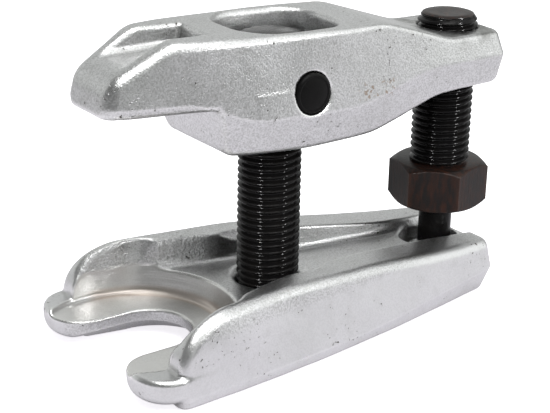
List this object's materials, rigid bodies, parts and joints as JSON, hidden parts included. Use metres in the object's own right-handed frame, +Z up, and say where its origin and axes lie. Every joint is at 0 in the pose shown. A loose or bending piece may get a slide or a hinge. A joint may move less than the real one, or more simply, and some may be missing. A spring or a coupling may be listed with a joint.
{
  "type": "ball joint separator",
  "caption": "Forged fork and pivoted forged lever on a threaded spindle; a pressure screw at the back tips the lever to press a ball joint's stud out.",
  "frame": {"origin": "on the spindle's axis, at the level of the fork's flat underside", "axes": "+Z up along the spindle, -X towards the fork's opening, the pivot pin along Y"},
  "size_m": [0.1681, 0.082, 0.111],
  "materials": {
    "plated_forging": "satin, finely grained, zinc-plated forging",
    "black_oxide_thread": "oily black oxide",
    "black_pin": "matt black",
    "oiled_black_screw": "oily black with brown edges",
    "bearing_steel": "polished"
  },
  "bodies": {
    "fork": {"lower_fork": "plated_forging"},
    "spindle": {"adjusting_spindle": "black_oxide_thread"},
    "lever": {"upper_lever": "plated_forging", "pivot_pin": "black_pin"},
    "ball": {"thrust_ball": "bearing_steel"},
    "screw": {"pressure_screw": "oiled_black_screw"}
  },
  "joints": [
    {"name": "height_adjust", "type": "slide", "parent": "fork", "child": "spindle", "axis": [0, 0, 1], "range_m": [0, 0.01]},
    {"name": "lever_tilt", "type": "hinge", "parent": "spindle", "child": "lever", "pos_m": [0, 0, 0.09], "axis": [0, -1, 0], "range_deg": [-5, 1]},
    {"name": "screw_feed", "type": "slide", "parent": "lever", "child": "ball", "axis": [0, 0, -1], "range_m": [-0.0069, 0.0014]},
    {"name": "screw_turn", "type": "hinge", "parent": "ball", "child": "screw", "pos_m": [0.0783, 0, 0.0384], "axis": [0, 0, -1], "range_deg": [-990, 200]}
  ],
  "couplings": [
    {"joint": "screw_feed", "follows": "lever_tilt", "m_per_rad": 0.0783},
    {"joint": "screw_turn", "follows": "lever_tilt", "ratio": 196.79}
  ]
}
